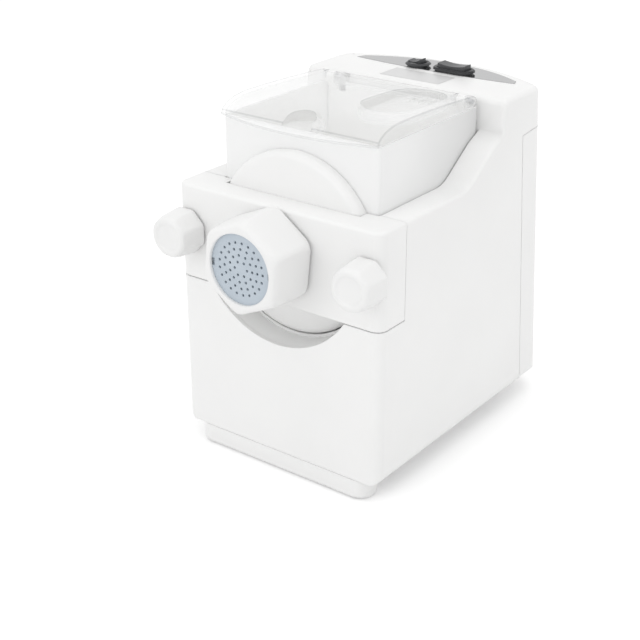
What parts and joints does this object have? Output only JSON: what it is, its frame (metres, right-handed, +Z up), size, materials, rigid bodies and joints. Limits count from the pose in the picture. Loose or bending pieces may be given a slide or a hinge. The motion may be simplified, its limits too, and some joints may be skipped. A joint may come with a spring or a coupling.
{
  "type": "electric pasta maker",
  "caption": "Electric pasta maker: box-shaped white housing, mixing chamber with clear hinged lid, bolted-on front plate with extruder nut, side knobs and rocker switches on top.",
  "frame": {"origin": "below the middle of the overall box, on the surface that the machine stands on", "axes": "+Z up; -Y towards the extruder front, +Y towards the rear cover; +X to the right when the front is faced from behind the viewer, so the water inlet is on the +X side"},
  "size_m": [0.2156, 0.33, 0.3004],
  "materials": {
    "white_shell": "satin white",
    "chamber_white": "milky white, polished",
    "clear_plastic": "clear, polished",
    "die_plastic": "blue-grey, matte",
    "charcoal_plastic": "charcoal",
    "plunger_grey": "light grey",
    "rocker_grey": "charcoal, satin",
    "panel_film": "glossy silver grey",
    "label_film": "light grey film",
    "seal_rubber": "food-grade seal",
    "pad_rubber": "dark grey",
    "nylon": "natural",
    "frame_plastic": "light grey",
    "steel": "machined",
    "brass": "turned",
    "core_iron": "stacked laminations",
    "winding_copper": "lacquered wire",
    "board_green": "lacquered laminate"
  },
  "bodies": {
    "housing_body": {"housing": "white_shell", "chamber_bed": "white_shell", "rear_cover": "white_shell", "base_plate": "white_shell", "front_foot": "white_shell", "rear_feet": "white_shell", "foot_pads": "pad_rubber", "stud_inserts": "brass", "first_gear_axle": "steel", "second_gear_axle": "steel", "main_bearing_front": "brass", "main_bearing_rear": "brass", "gearbox_case": "frame_plastic", "gearbox_cover": "frame_plastic", "motor_can": "steel", "motor_stator": "core_iron", "motor_windings": "winding_copper", "motor_bearings": "brass", "motor_cradle": "frame_plastic", "control_board": "board_green", "board_components": "charcoal_plastic", "interlock_switch": "charcoal_plastic", "control_panel": "panel_film", "label_plate": "label_film", "small_switch_bezel": "charcoal_plastic", "small_switch_body": "charcoal_plastic", "large_switch_bezel": "charcoal_plastic", "large_switch_body": "charcoal_plastic", "mains_inlet": "charcoal_plastic", "inlet_pins": "brass", "base_screws": "steel", "drive_screws": "steel", "cover_screws": "steel", "board_screws": "steel"},
    "chamber_body": {"mixing_chamber": "chamber_white", "shaft_seal": "seal_rubber"},
    "lid_body": {"lid": "clear_plastic", "lid_hinge_pins": "steel"},
    "front_body": {"front_plate": "white_shell", "front_disc": "white_shell", "disc_seal": "seal_rubber", "extrusion_tube": "white_shell"},
    "knob_left_body": {"knob_left": "white_shell", "knob_stud_left": "steel"},
    "knob_right_body": {"knob_right": "white_shell", "knob_stud_right": "steel"},
    "die_body": {"die_disc": "die_plastic"},
    "nut_body": {"extruder_nut": "white_shell"},
    "mixer_body": {"mixing_paddle": "nylon", "auger_screw": "nylon"},
    "output_body": {"drive_shaft": "steel", "output_gear": "steel"},
    "second_gear_body": {"second_gear": "nylon"},
    "first_gear_body": {"first_gear": "nylon"},
    "motor_body": {"motor_rotor": "steel", "motor_pinion": "steel", "cooling_fan": "charcoal_plastic"},
    "small_rocker_body": {"small_switch_button": "rocker_grey"},
    "large_rocker_body": {"large_switch_button": "rocker_grey"},
    "plunger_body": {"interlock_plunger": "plunger_grey"}
  },
  "joints": [
    {"name": "chamber_slide", "type": "slide", "parent": "housing_body", "child": "chamber_body", "axis": [0, -1, 0], "range_m": [0, 0.12]},
    {"name": "lid_hinge", "type": "hinge", "parent": "chamber_body", "child": "lid_body", "pos_m": [0, 0.0415, 0.29], "axis": [-1, 0, 0], "range_deg": [0, 95]},
    {"name": "front_slide", "type": "slide", "parent": "chamber_body", "child": "front_body", "axis": [0, -1, 0], "range_m": [0, 0.06]},
    {"name": "knob_left_turn", "type": "hinge", "parent": "front_body", "child": "knob_left_body", "pos_m": [-0.0888, -0.1355, 0.1943], "axis": [0, -1, 0], "range_deg": [0, 1080]},
    {"name": "knob_right_turn", "type": "hinge", "parent": "front_body", "child": "knob_right_body", "pos_m": [0.0888, -0.1355, 0.1943], "axis": [0, -1, 0], "range_deg": [0, 1080]},
    {"name": "die_slide", "type": "slide", "parent": "front_body", "child": "die_body", "axis": [0, -1, 0], "range_m": [0, 0.05]},
    {"name": "nut_turn", "type": "hinge", "parent": "die_body", "child": "nut_body", "pos_m": [0, -0.1415, 0.1945], "axis": [0, -1, 0], "range_deg": [0, 1620]},
    {"name": "mixer_spin", "type": "hinge", "parent": "chamber_body", "child": "mixer_body", "pos_m": [0, -0.0415, 0.1945], "axis": [0, 1, 0], "continuous": true},
    {"name": "output_spin", "type": "hinge", "parent": "housing_body", "child": "output_body", "pos_m": [0, 0.0785, 0.1945], "axis": [0, 1, 0], "continuous": true},
    {"name": "second_gear_spin", "type": "hinge", "parent": "housing_body", "child": "second_gear_body", "pos_m": [0.02, 0.0785, 0.14759], "axis": [0, 1, 0], "continuous": true},
    {"name": "first_gear_spin", "type": "hinge", "parent": "housing_body", "child": "first_gear_body", "pos_m": [-0.00368, 0.0685, 0.10932], "axis": [0, 1, 0], "continuous": true},
    {"name": "motor_spin", "type": "hinge", "parent": "housing_body", "child": "motor_body", "pos_m": [0, 0.0085, 0.072], "axis": [0, 1, 0], "continuous": true},
    {"name": "small_switch_tilt", "type": "hinge", "parent": "housing_body", "child": "small_rocker_body", "pos_m": [-0.0176, 0.1025, 0.29], "axis": [0, 1, 0], "range_deg": [0, 18]},
    {"name": "large_switch_tilt", "type": "hinge", "parent": "housing_body", "child": "large_rocker_body", "pos_m": [0.0188, 0.1025, 0.29], "axis": [0, 1, 0], "range_deg": [-8, 8]},
    {"name": "interlock_slide", "type": "slide", "parent": "housing_body", "child": "plunger_body", "axis": [0, -1, 0], "range_m": [0, 0.0025]}
  ],
  "couplings": [
    {"joint": "first_gear_spin", "follows": "motor_spin", "ratio": -0.25},
    {"joint": "second_gear_spin", "follows": "motor_spin", "ratio": 0.071429},
    {"joint": "output_spin", "follows": "motor_spin", "ratio": -0.021978},
    {"joint": "mixer_spin", "follows": "motor_spin", "ratio": -0.021978},
    {"joint": "interlock_slide", "follows": "lid_hinge", "m_per_rad": 0.0015}
  ]
}
